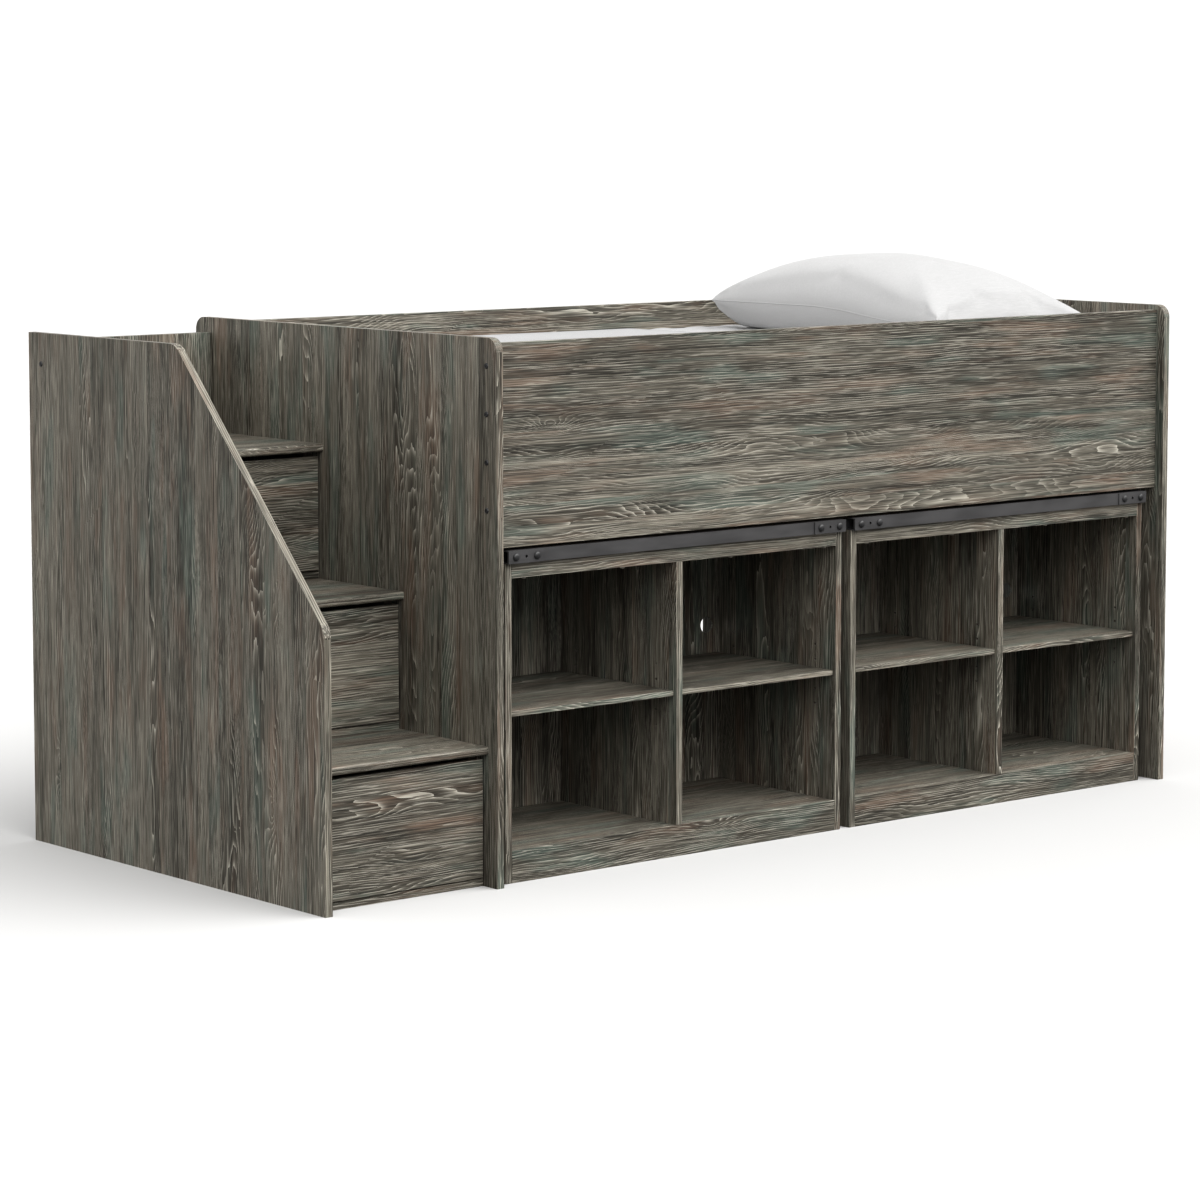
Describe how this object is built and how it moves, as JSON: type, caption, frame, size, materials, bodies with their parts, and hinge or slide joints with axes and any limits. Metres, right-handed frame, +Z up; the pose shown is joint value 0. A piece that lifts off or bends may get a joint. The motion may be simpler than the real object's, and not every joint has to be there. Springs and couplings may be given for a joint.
{
  "type": "loft bed",
  "caption": "Mid-height twin loft bed in weathered oak boards, with a drawer stair at its left end and open bookcases with steel bars under its front rail.",
  "frame": {"origin": "on the floor, at the centre of the whole object's footprint", "axes": "+X along the bed from the stair to the pillow end, +Y from the open front to the back, +Z up"},
  "size_m": [2.408, 1.046, 1.2103],
  "materials": {
    "oak_laminate": "weathered grey-brown oak laminate, matt",
    "drawer_birch": "clear-coated birch board",
    "slat_pine": "planed pine, untreated",
    "hardboard": "smooth hardboard",
    "gunmetal": "dark satin powder coat",
    "dark_bolts": "blackened steel",
    "zinc": "bright zinc plate",
    "cap_plastic": "matt caps in the colour of the wood",
    "webbing": "woven polyester tape",
    "mattress_cloth": "white knitted mattress cover",
    "sheet_cloth": "white cotton percale",
    "pillow_cloth": "white cotton percale"
  },
  "bodies": {
    "root": {"left_end_panel": "oak_laminate", "right_end_panel": "oak_laminate", "front_rail": "oak_laminate", "back_rail": "oak_laminate", "slat_ledgers": "slat_pine", "bed_slats": "slat_pine", "slat_straps": "webbing", "rail_bolts": "dark_bolts", "barrel_nuts": "zinc", "stair_side_panel": "oak_laminate", "stair_back_panel": "oak_laminate", "bottom_tread": "oak_laminate", "middle_tread": "oak_laminate", "top_tread": "oak_laminate", "toe_rails": "oak_laminate", "tread_cleats": "slat_pine", "stair_bolts": "dark_bolts", "drawer_channels": "zinc", "left_case_left_side": "oak_laminate", "left_case_right_side": "oak_laminate", "left_case_divider": "oak_laminate", "left_case_top": "oak_laminate", "left_case_deck": "oak_laminate", "left_case_plinth": "oak_laminate", "left_case_top_strip": "oak_laminate", "left_case_back": "oak_laminate", "left_case_shelves": "oak_laminate", "left_steel_bar": "gunmetal", "right_case_left_side": "oak_laminate", "right_case_right_side": "oak_laminate", "right_case_divider": "oak_laminate", "right_case_top": "oak_laminate", "right_case_deck": "oak_laminate", "right_case_plinth": "oak_laminate", "right_case_top_strip": "oak_laminate", "right_case_back": "oak_laminate", "right_case_shelves": "oak_laminate", "right_steel_bar": "gunmetal", "bar_end_plates": "gunmetal", "bar_bolts": "dark_bolts", "shelf_pins": "zinc", "strip_screws": "cap_plastic", "mattress": "mattress_cloth", "folded_sheet": "sheet_cloth", "pillow": "pillow_cloth"},
    "bottom_drawer": {"bottom_drawer_front": "oak_laminate", "bottom_drawer_sides": "drawer_birch", "bottom_drawer_back": "drawer_birch", "bottom_drawer_base": "hardboard", "bottom_drawer_slides": "zinc"},
    "middle_drawer": {"middle_drawer_front": "oak_laminate", "middle_drawer_sides": "drawer_birch", "middle_drawer_back": "drawer_birch", "middle_drawer_base": "hardboard", "middle_drawer_slides": "zinc"},
    "top_drawer": {"top_drawer_front": "oak_laminate", "top_drawer_sides": "drawer_birch", "top_drawer_back": "drawer_birch", "top_drawer_base": "hardboard", "top_drawer_slides": "zinc"}
  },
  "joints": [
    {"name": "bottom_drawer_slide", "type": "slide", "parent": "root", "child": "bottom_drawer", "axis": [0, -1, 0], "range_m": [0, 0.26]},
    {"name": "middle_drawer_slide", "type": "slide", "parent": "root", "child": "middle_drawer", "axis": [0, -1, 0], "range_m": [0, 0.26]},
    {"name": "top_drawer_slide", "type": "slide", "parent": "root", "child": "top_drawer", "axis": [0, -1, 0], "range_m": [0, 0.26]}
  ]
}
